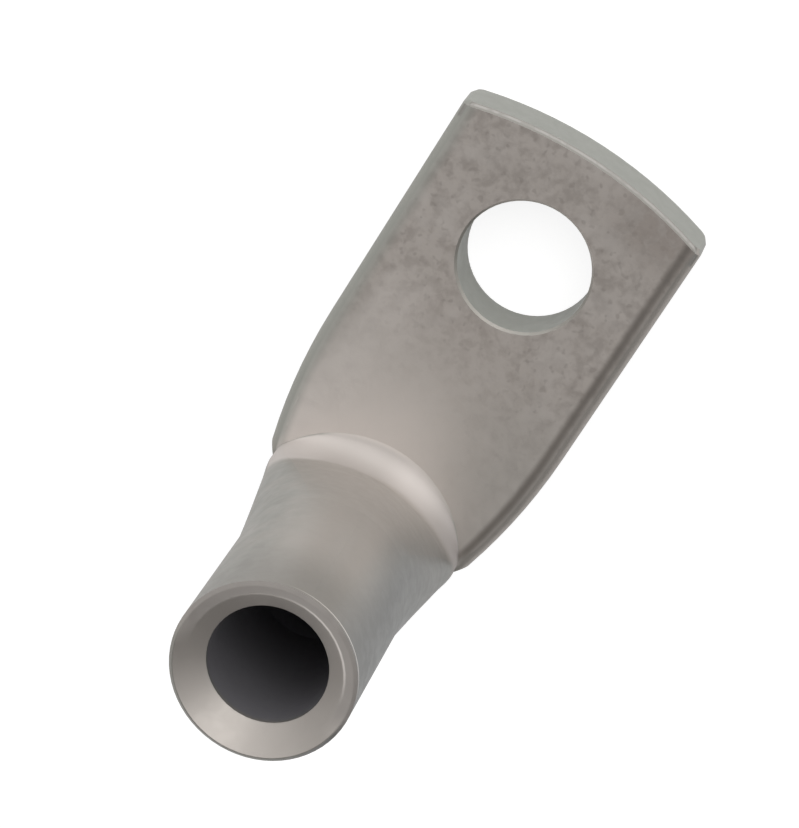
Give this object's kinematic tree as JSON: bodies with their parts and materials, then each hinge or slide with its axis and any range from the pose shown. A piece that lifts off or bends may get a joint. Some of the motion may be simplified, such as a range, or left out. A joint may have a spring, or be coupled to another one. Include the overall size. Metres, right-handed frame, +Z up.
{
  "type": "cable lug",
  "caption": "Right-angled tubular cable lug: a crimp barrel standing on a flat palm with a stud hole, one piece of tinned copper tube.",
  "frame": {"origin": "centre of the stud hole on the contact face", "axes": "+X along the palm towards its free end, +Z up along the stud hole and the barrel, +Y across the palm"},
  "size_m": [0.0245, 0.0132, 0.0255],
  "materials": {
    "tinned_copper": "matt tin plating"
  },
  "bodies": {
    "root": {"lug": "tinned_copper"}
  },
  "joints": []
}
